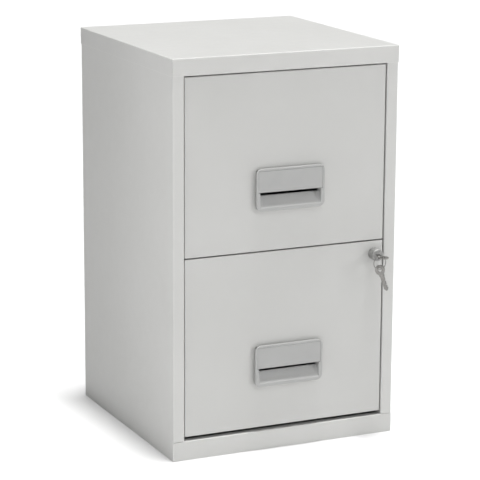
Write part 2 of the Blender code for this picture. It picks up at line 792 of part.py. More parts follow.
def cam_screw(metal):
    """Cross-head screw that holds the cam on the spigot."""
    seat = CAM_FRONT_Y + CAM_THICKNESS + AIR
    profile = [
        (SCREW_RADIUS, seat - 3.5 * MM),
        (SCREW_RADIUS, seat),
        (SCREW_HEAD_RADIUS, seat),
        (SCREW_HEAD_RADIUS, seat + 1.2 * MM),
        (SCREW_HEAD_RADIUS - 1.2 * MM, seat + SCREW_HEAD_HEIGHT),
    ]
    screw = turned("cam_screw", profile, "Y", (LOCK_X, 0, LOCK_Z), 20, metal)
    for number, (a, b) in enumerate(((0.5, 2.6), (2.6, 0.5))):
        low = (-a * MM, seat + 1 * MM, -b * MM)
        slot = box(f"screw_slot_{number}", low, (a * MM, seat + 3 * MM, b * MM))
        slot.location = (LOCK_X, 0, LOCK_Z)
        cut(screw, slot)
    return screw


def key_outline():
    """Flat key, its bow round the origin and its blade along +X of the outline."""
    neck = BLADE_HALF_WIDTH + 0.8 * MM
    opening = math.asin(neck / BOW_RADIUS)
    points = arc((0, 0), BOW_RADIUS, opening, 2 * math.pi - opening, 20)
    shoulder = BOW_RADIUS + 2.5 * MM
    tip = BOW_RADIUS + BLADE_LENGTH
    points += [(shoulder, -neck), (shoulder, -BLADE_HALF_WIDTH), (tip - 3 * MM, -BLADE_HALF_WIDTH)]
    points += [(tip, -1 * MM), (tip, 1 * MM), (tip - 3 * MM, BLADE_HALF_WIDTH)]
    for number, depth in enumerate((1.2, 2.0, 0.8, 1.6)):
        bite = tip - 5 * MM - number * 3.6 * MM
        points += [
            (bite, BLADE_HALF_WIDTH),
            (bite - 1.2 * MM, BLADE_HALF_WIDTH - depth * MM),
            (bite - 2.4 * MM, BLADE_HALF_WIDTH),
        ]
    points += [(shoulder, BLADE_HALF_WIDTH), (shoulder, neck)]
    return points


def key_blank(name, material):
    """A key lying flat: blade along +X, thickness along Z, its hole at the origin."""
    half = KEY_THICKNESS / 2
    key = prism(name, key_outline(), "Z", -half, half, material)
    hole = rod(f"{name}_hole", BOW_HOLE, "Z", (0, 0, 0), -3 * MM, 3 * MM, 24)
    return cut(key, hole), hole


def place_key(key_and_hole, matrix):
    for part in key_and_hole:
        part.matrix_world = matrix
    return key_and_hole[0]


def key_in_lock(material):
    """Key pushed home, its bow level."""
    blade_inward = Matrix.Rotation(math.radians(90), 4, "Z")
    place = Matrix.Translation((LOCK_X, KEY_HOLE_Y, LOCK_Z))
    return place_key(key_blank("key", material), place @ blade_inward)


def ring_centre():
    return Vector((LOCK_X, KEY_HOLE_Y, LOCK_Z)) + RING_OFFSET


def ring_pivot():
    return Vector((LOCK_X, KEY_HOLE_Y, LOCK_Z)) + RING_PIVOT_OFFSET


def spare_pivot():
    """Where the ring's wire passes through the spare key: the ring's lowest point."""
    return ring_centre() - Vector((0, 0, RING_RADIUS))


def key_ring(material):
    """Wire ring round the bridge of the key's bow."""
    wire = [(RING_RADIUS + x, y) for x, y in arc((0, 0), WIRE_RADIUS, 0, 2 * math.pi, 8)]
    wire[-1] = wire[0]
    return turned("key_ring", wire, "Y", ring_centre(), 32, material)


def spare_key(material):
    """Second key, which hangs from the ring and leans to the right."""
    blade_down = Matrix.Rotation(math.radians(90), 4, "Y")
    stand_up = Matrix.Rotation(math.radians(90), 4, "X")
    lean = Matrix.Rotation(-SPARE_TILT, 4, "Y")
    turn = Matrix.Rotation(SPARE_TURN, 4, "Z")
    hang = Matrix.Translation((0, 0, -SPARE_HANG))
    place = Matrix.Translation(spare_pivot())
    matrix = place @ turn @ lean @ hang @ blade_down @ stand_up
    return place_key(key_blank("spare_key", material), matrix)


# ---------------------------------------------------------------- lock bar

def tab_low(level):
    return runner_base(level) + TAB_RISE


def arm_low():
    """Underside of the arm that the cam lifts, just above the cam's resting tip."""
    return LOCK_Z - CAM_REACH * math.sin(KEY_TURN / 2) + CAM_TIP_RADIUS + BAR_PLAY


def lock_bar(steel):
    """Flat bar with a tab in front of each drawer's catch and an arm over the cam."""
    left, right = BAR_X
    outline = [(right, BAR_Z[0]), (right, BAR_Z[1]), (left, BAR_Z[1])]
    reaches = ((tab_low("upper"), TAB_X), (arm_low(), ARM_X), (tab_low("lower"), TAB_X))
    for low, reach in reaches:
        outline += [(left, low + TAB_HEIGHT), (reach, low + TAB_HEIGHT), (reach, low), (left, low)]
    outline.append((left, BAR_Z[0]))
    return prism("lock_bar", outline, "Y", *BAR_Y, steel)


def lock_bar_guide(label, z, steel):
    """Angle on the side panel with a window that the bar slides through."""
    skin = SHEET / 2
    side_x = CASE_X - SHEET - 0.4 * MM - skin
    path = [(side_x, z + 14 * MM), (side_x, z), (181 * MM, z)]
    front_y = BAR_Y[0] - 3.2 * MM
    rear_y = BAR_Y[1] + 4 * MM
    guide = folded_sheet(f"lock_bar_guide_{label}", path, "Y", front_y, rear_y, steel)
    play = 0.4 * MM
    window = box(
        f"lock_bar_guide_{label}_window",
        (BAR_X[0] - play, BAR_Y[0] - play, z - 3 * MM),
        (BAR_X[1] + play, BAR_Y[1] + play, z + 3 * MM),
    )
    return cut(guide, window)


# ---------------------------------------------------------------- assembly

def make_rollers(level, nylon, drawer):
    """Two rollers on the runners and two at the rear of the drawer, each on its own axis."""
    for side, label in ((-1, "left"), (1, "right")):
        roller(f"runner_roller_{level}_{label}", side * FRONT_ROLLER_X, FRONT_ROLLER_Y,
               front_roller_z(level), nylon)
        moving = roller(f"{level}_drawer_roller_{label}", side * REAR_ROLLER_X, REAR_ROLLER_Y,
                        rear_roller_z(level), nylon)
        carry(drawer, [moving])


def main():
    clear_scene()
    mats = make_materials()
    coat = mats["powder_coat"]
    steel = mats["zinc_steel"]
    make_carcass(coat)
    drawers = {}
    for level in FRONT_SPANS:
        for side, label in ((-1, "left"), (1, "right")):
            runner(level, side, label, steel)
        drawers[level] = pivot(f"{level}_drawer_slide", (0, FRONT_FACE_Y, handle_z(level)))
        carry(drawers[level], make_drawer(level, mats))
        make_rollers(level, mats["nylon"], drawers[level])
    lock = mats["lock_metal"]
    carry(drawers["lower"], [lock_barrel(lock), lock_nut(lock)])
    core = pivot("lock_turn", (LOCK_X, LOCK_FACE_Y, LOCK_Z))
    carry(core, [lock_plug(lock), lock_cam(steel), cam_screw(steel), key_in_lock(mats["key_steel"])])
    ring = pivot("ring_swing", ring_pivot())
    carry(ring, [key_ring(mats["key_steel"])])
    spare = pivot("spare_key_swing", spare_pivot())
    carry(spare, [spare_key(mats["key_steel"])])
    for empty in (core, ring, spare):
        carry(drawers["lower"], [empty])
    lifted = pivot("lock_bar_lift", (BAR_X[0], BAR_Y[0], BAR_Z[0]))
    carry(lifted, [lock_bar(steel)])
    for label, z in zip(("lower", "upper"), GUIDE_ZS):
        lock_bar_guide(label, z, steel)


main()
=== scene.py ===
"""Looks of the two-drawer metal filing cabinet: powder coat, moulded handles, lock and keys.

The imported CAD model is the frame. Every place and size below comes from the boxes of
its nodes or from a named size in millimetres. The drawers face -Y.
"""
import json
import math

import bmesh
import bpy
from mathutils import Matrix, Vector

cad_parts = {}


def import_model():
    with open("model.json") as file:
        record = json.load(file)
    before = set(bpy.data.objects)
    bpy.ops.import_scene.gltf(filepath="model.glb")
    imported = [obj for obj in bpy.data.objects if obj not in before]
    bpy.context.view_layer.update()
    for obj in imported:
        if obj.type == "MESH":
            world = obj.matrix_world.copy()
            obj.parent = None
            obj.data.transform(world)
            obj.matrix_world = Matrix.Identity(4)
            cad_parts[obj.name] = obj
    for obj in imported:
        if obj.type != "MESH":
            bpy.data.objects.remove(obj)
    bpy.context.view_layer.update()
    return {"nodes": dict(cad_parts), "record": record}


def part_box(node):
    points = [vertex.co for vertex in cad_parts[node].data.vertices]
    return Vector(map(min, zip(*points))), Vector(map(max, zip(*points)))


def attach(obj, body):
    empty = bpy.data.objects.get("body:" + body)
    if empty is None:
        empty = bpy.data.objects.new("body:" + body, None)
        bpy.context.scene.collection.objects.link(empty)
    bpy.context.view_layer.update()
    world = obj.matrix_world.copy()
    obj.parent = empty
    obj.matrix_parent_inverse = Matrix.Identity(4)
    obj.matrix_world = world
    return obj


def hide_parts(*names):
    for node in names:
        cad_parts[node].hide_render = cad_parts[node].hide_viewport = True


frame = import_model()

MM = 0.001
LEVELS = ("lower", "upper")
SIDES = ((-1, "left"), (1, "right"))


# ---------------------------------------------------------------- node tools

class Nodes:
    """A material's node tree, with short ways to add and link nodes."""

    def __init__(self, name):
        self.material = bpy.data.materials.new(name)
        self.material.use_nodes = True
        self.tree = self.material.node_tree
        self.shader = self.tree.nodes["Principled BSDF"]

    def add(self, kind, **settings):
        node = self.tree.nodes.new(kind)
        for key, value in settings.items():
            setattr(node, key, value)
        return node

    def link(self, output, target):
        self.tree.links.new(output, target)

    def place(self):
        """Coordinates in metres that stay with the piece."""
        return self.add("ShaderNodeTexCoord").outputs["Object"]

    def noise(self, scale, detail=2.0, roughness=0.5, stretch=None):
        where = self.place()
        if stretch:
            mapping = self.add("ShaderNodeMapping")
            mapping.inputs["Scale"].default_value = stretch
            self.link(where, mapping.inputs["Vector"])
            where = mapping.outputs["Vector"]
        node = self.add("ShaderNodeTexNoise")
        node.inputs["Scale"].default_value = scale
        node.inputs["Detail"].default_value = detail
        node.inputs["Roughness"].default_value = roughness
        self.link(where, node.inputs["Vector"])
        return node.outputs["Fac"]

    def spread(self, value, low, high):
        """The value's middle range stretched to run from low to high."""
        node = self.add("ShaderNodeMapRange")
        node.inputs["From Min"].default_value = 0.3
        node.inputs["From Max"].default_value = 0.7
        node.inputs["To Min"].default_value = low
        node.inputs["To Max"].default_value = high
        self.link(value, node.inputs["Value"])
        return node.outputs["Result"]

    def tint(self, factor, first, second):
        node = self.add("ShaderNodeMix", data_type="RGBA")
        node.inputs["A"].default_value = (*first, 1)
        node.inputs["B"].default_value = (*second, 1)
        self.link(factor, node.inputs["Factor"])
        return node.outputs["Result"]

    def bump(self, height, distance, strength, below=None):
        node = self.add("ShaderNodeBump")
        node.inputs["Distance"].default_value = distance
        node.inputs["Strength"].default_value = strength
        self.link(height, node.inputs["Height"])
        if below:
            self.link(below, node.inputs["Normal"])
        return node.outputs["Normal"]

    def edges(self, radius):
        """1 along sharp bends and rims, 0 on the flats; the mask of the powder coat's painted edge highlight.
        """
        bevel = self.add("ShaderNodeBevel", samples=4)
        bevel.inputs["Radius"].default_value = radius
        geometry = self.add("ShaderNodeNewGeometry")
        dot = self.add("ShaderNodeVectorMath", operation="DOT_PRODUCT")
        self.link(bevel.outputs["Normal"], dot.inputs[0])
        self.link(geometry.outputs["True Normal"], dot.inputs[1])
        ramp = self.add("ShaderNodeMapRange")
        ramp.inputs["From Min"].default_value = 0.995
        ramp.inputs["From Max"].default_value = 0.90
        self.link(dot.outputs["Value"], ramp.inputs["Value"])
        return ramp.outputs["Result"]

    def set(self, **values):
        for key, value in values.items():
            socket = self.shader.inputs[key.replace("_", " ").title().replace("Ior", "IOR")]
            if isinstance(value, tuple):
                socket.default_value = value if len(value) == 4 else (*value, 1)
            elif isinstance(value, (int, float)):
                socket.default_value = value
            else:
                self.link(value, socket)
        return self.material


def powder_coat(name, share):
    """Light grey powder coat: fine orange peel over faintly uneven sheet steel, with a painted highlight
    along its bends and rims.
    """
    n = Nodes(name)
    patches = n.noise(5.0, 3.0)
    dark = tuple(share * level for level in (0.500, 0.500, 0.487))
    light = tuple(share * level for level in (0.520, 0.520, 0.508))
    colour = n.tint(n.spread(patches, 0, 1), dark, light)
    # Painted highlight: the coat is lightened along sharp bends and rims, where light catches the folds
    painted_edge_highlight = n.add("ShaderNodeMix", data_type="RGBA")
    n.link(n.edges(0.0012), painted_edge_highlight.inputs["Factor"])
    n.link(colour, painted_edge_highlight.inputs["A"])
    painted_edge_highlight.inputs["B"].default_value = (0.62, 0.62, 0.61, 1)
    sheet = n.bump(n.noise(6.0, 1.0), 0.0016, 0.06)
    peel = n.bump(n.noise(1100.0, 2.0, 0.6), 0.00006, 0.5, below=sheet)
    rough = n.spread(n.noise(60.0, 3.0), 0.40, 0.47)
    return n.set(base_color=painted_edge_highlight.outputs["Result"], roughness=rough, normal=peel)


def zinc_steel():
    """Bright zinc plate, rolled, with a little spangle."""
    n = Nodes("zinc_steel_look")
    spangle = n.add("ShaderNodeTexVoronoi")
    spangle.inputs["Scale"].default_value = 260.0
    n.link(n.place(), spangle.inputs["Vector"])
    grey = n.add("ShaderNodeSeparateColor")
    n.link(spangle.outputs["Color"], grey.inputs["Color"])
    colour = n.tint(grey.outputs["Red"], (0.60, 0.61, 0.61), (0.70, 0.70, 0.69))
    rolled = n.noise(400.0, 2.0, stretch=(1.0, 0.04, 1.0))
    rough = n.spread(rolled, 0.30, 0.46)
    return n.set(base_color=colour, metallic=1.0, roughness=rough,
                 normal=n.bump(rolled, 0.00003, 0.3))


def handle_plastic():
    """Grey moulded plastic with a fine spark-eroded grain."""
    n = Nodes("handle_plastic_look")
    colour = n.tint(n.spread(n.noise(30.0, 3.0), 0, 1), (0.355, 0.357, 0.352), (0.375, 0.376, 0.371))
    grain = n.bump(n.noise(2600.0, 3.0, 0.7), 0.00004, 0.55)
    rough = n.spread(n.noise(300.0), 0.56, 0.66)
    return n.set(base_color=colour, roughness=rough, specular_ior_level=0.35, normal=grain)


def nylon():
    n = Nodes("nylon_look")
    colour = n.tint(n.spread(n.noise(120.0), 0, 1), (0.80, 0.79, 0.74), (0.86, 0.85, 0.80))
    turned = n.noise(900.0, 2.0, stretch=(1.0, 0.1, 0.1))
    return n.set(base_color=colour, roughness=n.spread(turned, 0.32, 0.45),
                 subsurface_weight=0.08, subsurface_scale=0.002, normal=n.bump(turned, 0.00003, 0.3))


def plated(name, first, second, low, high):
    """Nickel plate with fine random scratches."""
    n = Nodes(name)
    colour = n.tint(n.spread(n.noise(350.0, 3.0), 0, 1), first, second)
    scratches = n.noise(700.0, 4.0, 0.7, stretch=(1.0, 0.2, 0.05))
    rough = n.spread(scratches, low, high)
    return n.set(base_color=colour, metallic=1.0, roughness=rough,
                 normal=n.bump(scratches, 0.00002, 0.4))


MATERIALS = {
    "powder_coat": powder_coat("powder_coat_look", 1.0),
    "zinc_steel": zinc_steel(),
    "handle_plastic": handle_plastic(),
    "nylon": nylon(),
    "lock_metal": plated("lock_metal_look", (0.33, 0.33, 0.325), (0.43, 0.43, 0.42), 0.56, 0.68),
    "key_steel": plated("key_steel_look", (0.22, 0.216, 0.208), (0.32, 0.312, 0.30), 0.30, 0.42),
}
# The drawers' fronts are a shade darker than the case
FRONT_COAT = powder_coat("front_coat_look", 0.94)
SLOT_OF = {part["node"]: part["material_slot"] for part in frame["record"]["subparts"]}


# ---------------------------------------------------------------- mesh tools

BODY_OF = {
    node: body
    for body, members in frame["record"]["behaviour"]["bodies"].items()
    for node in members
}
SHEET = 0.8 * MM
AIR = 0.3 * MM
FOLD_STEPS = 7


def as_object(name, bm):
    """An object of a bmesh, with its faces turned outward."""
    bmesh.ops.recalc_face_normals(bm, faces=bm.faces)
    mesh = bpy.data.meshes.new(name)
    bm.to_mesh(mesh)
    bm.free()
    obj = bpy.data.objects.new(name, mesh)
    bpy.context.scene.collection.objects.link(obj)
    return obj


def apply_modifiers(obj):
    depsgraph = bpy.context.evaluated_depsgraph_get()
    mesh = bpy.data.meshes.new_from_object(obj.evaluated_get(depsgraph))
    obj.modifiers.clear()
    obj.data = mesh
    return obj


def combine(obj, other, operation):
    """Cut the other shape out of the object or join it on, and throw the other away."""
    boolean = obj.modifiers.new("combine", "BOOLEAN")
    boolean.operation = operation
    boolean.solver = "EXACT"
    boolean.object = other
    apply_modifiers(obj)
    bpy.data.objects.remove(other)
    return obj


def cut(obj, cutter):
    return combine(obj, cutter, "DIFFERENCE")


def join(obj, extra):
    return combine(obj, extra, "UNION")


def thicken(obj, thickness, offset):
    solidify = obj.modifiers.new("sheet", "SOLIDIFY")
    solidify.thickness = thickness
    solidify.offset = offset
    solidify.use_even_offset = True
    return apply_modifiers(obj)


def soften(obj, width, segments=2, angle=50):
    """Round the object's sharp edges."""
    bevel = obj.modifiers.new("soft_edges", "BEVEL")
    bevel.width = width
    bevel.segments = segments
    bevel.limit_method = "ANGLE"
    bevel.angle_limit = math.radians(angle)
    return apply_modifiers(obj)


def finish_piece(obj, node, material=None):
    """Shade the piece, give it its node's material and body, and let it stand for the node."""
    mesh = obj.data
    mesh.shade_smooth()
    mesh.set_sharp_from_angle(angle=math.radians(38))
    weighted = obj.modifiers.new("flat_faces_flat", "WEIGHTED_NORMAL")
    weighted.keep_sharp = True
    apply_modifiers(obj)
    obj.data.materials.clear()
    obj.data.materials.append(material or MATERIALS[SLOT_OF[node]])
    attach(obj, BODY_OF[node])
    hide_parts(node)
    return obj


def box(name, low, high):
    bm = bmesh.new()
    bmesh.ops.create_cube(bm, size=1)
    middle = (Vector(low) + Vector(high)) / 2
    size = Vector(high) - Vector(low)
    for vert in bm.verts:
        vert.co = Vector(vert.co[i] * size[i] + middle[i] for i in range(3))
    return as_object(name, bm)


# The two axes across each axis
OTHER_AXES = {"X": (1, 2), "Y": (0, 2), "Z": (0, 1)}


def point_on(axis, pair, along):
    """A point from its two coordinates across an axis and the one along it."""
    point = Vector((along, along, along))
    first, second = OTHER_AXES[axis]
    point[first] = pair[0]
    point[second] = pair[1]
    return point


def loft(name, sections, closed_ends=True):
    """A skin over sections that have the same number of points."""
    bm = bmesh.new()
    rings = [[bm.verts.new(point) for point in section] for section in sections]
    for ring, following in zip(rings, rings[1:]):
        for i in range(len(ring)):
            j = (i + 1) % len(ring)
            bm.faces.new((ring[i], ring[j], following[j], following[i]))
    if closed_ends:
        bm.faces.new(rings[0])
        bm.faces.new(rings[-1])
    return as_object(name, bm)


def prism(name, outline, axis, start, end):
    return loft(name, [[point_on(axis, pair, along) for pair in outline] for along in (start, end)])


def arc(centre, radius, start, end, steps):
    """Points of an arc, from one angle to another, both ends included."""
    angles = [start + (end - start) * i / steps for i in range(steps + 1)]
    return [(centre[0] + radius * math.cos(a), centre[1] + radius * math.sin(a)) for a in angles]


def rounded_rectangle(half_width, half_height, radius, steps=8):
    points = []
    for quarter, (x, z) in enumerate(((1, 1), (-1, 1), (-1, -1), (1, -1))):
        centre = (x * (half_width - radius), z * (half_height - radius))
        start = quarter * math.pi / 2
        points += arc(centre, radius, start, start + math.pi / 2, steps)
    return points


def folded_path(corners, radius):
    """The corners' path with each inner corner rounded."""
    points = [Vector(corners[0])]
    for before, corner, after in zip(corners, corners[1:], corners[2:]):
        corner = Vector(corner)
        back = (Vector(before) - corner).normalized()
        ahead = (Vector(after) - corner).normalized()
        half = back.angle(ahead) / 2
        centre = corner + (back + ahead).normalized() * (radius / math.sin(half))
        swing_from = corner + back * radius / math.tan(half) - centre
        swing_to = corner + ahead * radius / math.tan(half) - centre
        for i in range(FOLD_STEPS + 1):
            spoke = swing_from.normalized().slerp(swing_to.normalized(), i / FOLD_STEPS)
            points.append(centre + spoke * radius)
    points.append(Vector(corners[-1]))
    return points


def folded_sheet(name, corners, axis, start, end, radius=1.2 * MM):
    """Sheet steel folded along a path, which runs in the middle of its thickness."""
    bm = bmesh.new()
    path = folded_path(corners, radius)
    first = [bm.verts.new(point_on(axis, pair, start)) for pair in path]
    last = [bm.verts.new(point_on(axis, pair, end)) for pair in path]
    for i in range(len(path) - 1):
        bm.faces.new((first[i], first[i + 1], last[i + 1], last[i]))
    return thicken(as_object(name, bm), SHEET, 0)


def pan(name, low, high, open_side, radius=1.6 * MM):
    """A sheet box with rounded folds and one side open: (axis number, -1 or 1)."""
    bm = bmesh.new()
    bmesh.ops.create_cube(bm, size=1)
    axis, sign = open_side
    bmesh.ops.delete(bm, geom=[f for f in bm.faces if f.normal[axis] * sign > 0.5], context="FACES")
    middle = (Vector(low) + Vector(high)) / 2
    size = Vector(high) - Vector(low)
    for vert in bm.verts:
        vert.co = Vector(vert.co[i] * size[i] + middle[i] for i in range(3))
    folds = [edge for edge in bm.edges if not edge.is_boundary]
    bmesh.ops.bevel(bm, geom=folds, offset=radius, segments=FOLD_STEPS, profile=0.5, affect="EDGES")
    return thicken(as_object(name, bm), SHEET, -1)


def turned(name, profile, axis, centre, sides=72):
    """A turned piece. Profile points are (radius, place along the axis).

    A profile whose two ends meet is a ring with a bore; any other is closed by
    a flat cap at each end.
    """
    bored = profile[0] == profile[-1]
    points = profile[:-1] if bored else profile
    bm = bmesh.new()
    rings = []
    for i in range(sides):
        angle = 2 * math.pi * (i + 0.5) / sides
        spoke = (math.cos(angle), math.sin(angle))
        rings.append([bm.verts.new(point_on(axis, (r * spoke[0], r * spoke[1]), t)) for r, t in points])
    for i in range(sides):
        this, following = rings[i], rings[(i + 1) % sides]
        for j in range(len(points) if bored else len(points) - 1):
            k = (j + 1) % len(points)
            bm.faces.new((this[j], following[j], following[k], this[k]))
    if not bored:
        bm.faces.new([ring[0] for ring in rings])
        bm.faces.new([ring[-1] for ring in rings])
    obj = as_object(name, bm)
    obj.data.transform(Matrix.Translation(centre))
    return obj


def rod(name, radius, axis, centre, start, end, sides=48):
    return turned(name, [(radius, start), (radius, end)], axis, centre, sides)


def mirrored(pairs, side):
    return [(side * first, second) for first, second in pairs]


def span(a, b):
    return (min(a, b), max(a, b))


def centre_of(node):
    low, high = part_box(node)
    return (low + high) / 2


# ---------------------------------------------------------------- carcass

SKIN = SHEET / 2
CASE_LOW, CASE_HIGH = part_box("side_panel_right")
CASE_X = CASE_HIGH.x
CASE_FRONT = CASE_LOW.y
CASE_REAR = CASE_HIGH.y
STILE_WIDTH = 19.7 * MM
PLINTH_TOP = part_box("plinth_rail")[1].z


def weld_marks(obj, places, radius, depth):
    """Shallow round dents where the sheets are spot-welded. They face +Y."""
    bm = bmesh.new()
    for place in places:
        middle = Vector(place) + Vector((0, radius - depth, 0))
        bmesh.ops.create_icosphere(bm, subdivisions=3, radius=radius, matrix=Matrix.Translation(middle))
    return cut(obj, as_object("weld_marks", bm))


def side_panel(side, label):
    """Side, front stile with its return, and rear flange, in one folded sheet."""
    low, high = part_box(f"side_panel_{label}")
    stile_edge = CASE_X - STILE_WIDTH + SKIN
    outline = [
        (stile_edge, low.y + 17.6 * MM),
        (stile_edge, low.y + SKIN),
        (CASE_X - SKIN, low.y + SKIN),
        (CASE_X - SKIN, high.y - SKIN),
        (CASE_X - 18 * MM, high.y - SKIN),
    ]
    panel = folded_sheet(f"side_{label}", mirrored(outline, side), "Z", 0, high.z)
    for reach, rear in ((CASE_X + AIR + SHEET, SHEET + AIR), (CASE_X - 5 * MM, 30 * MM)):
        near, far = span(side * (stile_edge - 5 * MM), side * reach)
        low_corner = (near, low.y - 2 * MM, -1 * MM)
        cut(panel, box("foot", low_corner, (far, low.y + rear, PLINTH_TOP + AIR)))
    welds = [(side * (CASE_X - 9 * MM), high.y, (45 + 95 * i) * MM) for i in range(7)]
    weld_marks(panel, welds, 6 * MM, 0.3 * MM)
    return finish_piece(panel, f"side_panel_{label}")


def back_panel():
    """Plain sheet inside the side panels' rear flanges, with its weld marks."""
    low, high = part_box("back_panel")
    panel = box("back", low, high)
    welds = [(x * 70 * MM, high.y, z) for x in (-2, -1, 0, 1, 2) for z in (low.z + 12 * MM, high.z - 40 * MM)]
    weld_marks(panel, welds, 6 * MM, 0.25 * MM)
    return finish_piece(soften(panel, 0.15 * MM), "back_panel")


def top_lid():
    """Folded cap over the case. Its corners are open seams, wider at the bottom."""
    low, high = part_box("top_lid")
    lid = pan("lid", low, high, (2, -1), radius=1.8 * MM)
    reach = 4 * MM
    seam_top = high.z - 4 * SHEET
    for x in (-1, 1):
        for y in (-1, 1):
            sections = []
            for half, z in ((0.55 * MM, low.z - 1 * MM), (0.22 * MM, seam_top)):
                corners = ((-reach, -half), (reach, -half), (reach, half), (-reach, half))
                sections.append([Vector((a, b, z)) for a, b in corners])
            seam = loft("seam", sections)
            turn = Matrix.Rotation(math.radians(45) * x * y, 4, "Z")
            seam.data.transform(Matrix.Translation((x * high.x, y * high.y, 0)) @ turn)
            cut(lid, seam)
    return finish_piece(lid, "top_lid")


def header_rail():
    """Channel across the front, behind the lid's skirt."""
    low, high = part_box("header_rail")
    front, rear = low.y + SKIN, high.y
    top, bottom = high.z - SKIN, low.z + SKIN
    path = [(rear, bottom), (front, bottom), (front, top), (rear, top)]
    return finish_piece(folded_sheet("header", path, "X", low.x, high.x), "header_rail")


def base_panel():
    low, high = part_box("base_panel")
    return finish_piece(pan("base", low, high, (2, 1)), "base_panel")


def plinth_rail():
    """Full-width front rail below the lower drawer, with a shelf along its top."""
    low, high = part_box("plinth_rail")
    front = low.y + SKIN
    shelf = high.z - SKIN
    path = [(front, low.z), (front, shelf), (front + 13.6 * MM, shelf), (front + 13.6 * MM, shelf - 7.6 * MM)]
    rail = folded_sheet("plinth", path, "X", low.x, high.x)
    for side in (-1, 1):
        near, far = span(side * (high.x + 1 * MM), side * (high.x - SHEET - 0.5 * MM))
        corner = (near, low.y + SHEET + 0.2 * AIR, -1 * MM)
        cut(rail, box("rail_end", corner, (far, low.y + 20 * MM, high.z + 1 * MM)))
    return finish_piece(rail, "plinth_rail")


# ---------------------------------------------------------------- runners and rollers

RUNNER_HEIGHT = 25.8 * MM
RUNNER_WEB_X = 178.3 * MM
RUNNER_LIP_X = 168.4 * MM
RAIL_LIP_X = 177 * MM
ROLLER_RADIUS = 11 * MM
AXLE_RADIUS = 2.9 * MM


def headed_axle(start_x, head_x, centre):
    """Riveted axle from a web out to its domed head, along X."""
    step = math.copysign(1.1 * MM, head_x - start_x)
    profile = [(AXLE_RADIUS, start_x), (AXLE_RADIUS, head_x)]
    for radius, rise in ((4.6, 0), (4.6, 0.25), (4.3, 0.55), (3.6, 0.8), (2.4, 0.95), (0.9, 1.0)):
        profile.append((radius * MM, head_x + step * rise))
    return turned("axle", profile, "X", centre, 40)


def runner(level, side, label):
    """Channel on two brackets, with the axle of its front roller."""
    name = f"runner_{level}_{label}"
    low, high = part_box(name)
    bottom, top = low.z + SKIN, low.z + RUNNER_HEIGHT - SKIN
    section = [(RUNNER_LIP_X, bottom), (RUNNER_WEB_X, bottom), (RUNNER_WEB_X, top), (RUNNER_LIP_X, top)]
    channel = folded_sheet(f"{name}_steel", mirrored(section, side), "Y", low.y, high.y)
    foot_x = CASE_X - SHEET - 0.4 * MM - SKIN
    web_x = RUNNER_WEB_X + 0.7 * SHEET
    for y in (-130 * MM, 130 * MM):
        path = [(foot_x, y - 14 * MM), (foot_x, y), (web_x, y), (web_x, y + 14 * MM)]
        join(channel, folded_sheet("bracket", mirrored(path, side), "Z", low.z + 5 * MM, low.z + 20 * MM))
    roller_at = centre_of(f"runner_roller_{level}_{label}")
    head_x = side * roller_at.x - 3.8 * MM
    axle = headed_axle(side * RUNNER_WEB_X, side * head_x, (0, roller_at.y, roller_at.z))
    return finish_piece(join(channel, axle), name)


def drawer_rail(level, side, label):
    """Angle on the drawer's side whose lip rides over the rollers, with the rear roller's axle."""
    name = f"{level}_rail_{label}"
    low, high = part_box(name)
    web_x = (low.x if side > 0 else -high.x) + SKIN
    lip = high.z - SKIN
    section = mirrored([(web_x, low.z), (web_x, lip), (RAIL_LIP_X, lip)], side)
    rail = folded_sheet(f"{name}_steel", section, "Y", low.y, high.y)
    roller_at = centre_of(f"{level}_drawer_roller_{label}")
    head_x = side * roller_at.x + 3.8 * MM
    axle = headed_axle(side * web_x, side * head_x, (0, roller_at.y, roller_at.z))
    return finish_piece(join(rail, axle), name)


def roller(node):
    """Nylon wheel with rounded rims and a sunk ring on each face."""
    low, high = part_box(node)
    half = (high.x - low.x) / 2
    rim = 1 * MM
    face = [(3.0 * MM, -half), (5.0 * MM, -half), (5.5 * MM, -half + 0.7 * MM), (8.4 * MM, -half + 0.7 * MM),
            (8.9 * MM, -half)]
    face += [(ROLLER_RADIUS - rim + a, b) for a, b in arc((0, -half + rim), rim, -math.pi / 2, 0, 5)]
    profile = face + [(radius, -along) for radius, along in reversed(face)]
    profile.append(profile[0])
    return finish_piece(turned(f"{node}_wheel", profile, "X", centre_of(node)), node)


# ---------------------------------------------------------------- drawers

def handle_middle(level):
    return centre_of(f"{level}_handle_housing")


def drawer_front(level):
    """Front pan with the handle's opening, and the lock's hole on the lower one."""
    low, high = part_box(f"{level}_front")
    front = pan(f"{level}_front_sheet", low, high, (1, 1), radius=1.4 * MM)
    middle = handle_middle(level)
    middle.y = low.y
    reach = Vector((58, 2, 31)) * MM
    cut(front, box("opening", middle - reach, middle + reach))
    outline = rounded_rectangle((high.x - low.x) / 2, (high.z - low.z) / 2, 2 * MM)
    centre = (low + high) / 2
    outline = [(centre.x + px, centre.z + pz) for px, pz in outline]
    combine(front, prism("corners", outline, "Y", low.y - 1 * MM, high.y + 1 * MM), "INTERSECT")
    if level == "lower":
        hole_at = centre_of("lock_barrel")
        cut(front, rod("lock_hole", 9 * MM, "Y", (hole_at.x, low.y, hole_at.z), -3 * MM, 3 * MM))
    return finish_piece(front, f"{level}_front", FRONT_COAT)


def drawer_wall(level, side, label):
    """Side wall whose folded top edge carries hanging files, notched for the lock."""
    name = f"{level}_wall_{label}"
    low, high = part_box(name)
    x = (low.x if side > 0 else -high.x) + SKIN
    top = high.z - SKIN
    section = [(x, low.z), (x, top), (x + 3.2 * MM, top), (x + 3.2 * MM, top - 8 * MM)]
    wall = folded_sheet(f"{name}_sheet", mirrored(section, side), "Y", low.y, high.y)
    near, far = span(side * (x - 5 * MM), side * (x + 10 * MM))
    notch = box("notch", (near, low.y - 1 * MM, high.z - 14 * MM), (far, -170 * MM, high.z + 5 * MM))
    return finish_piece(cut(wall, notch), name)


def drawer_tray(node, open_side):
    low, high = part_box(node)
    return finish_piece(pan(f"{node}_sheet", low, high, open_side), node)


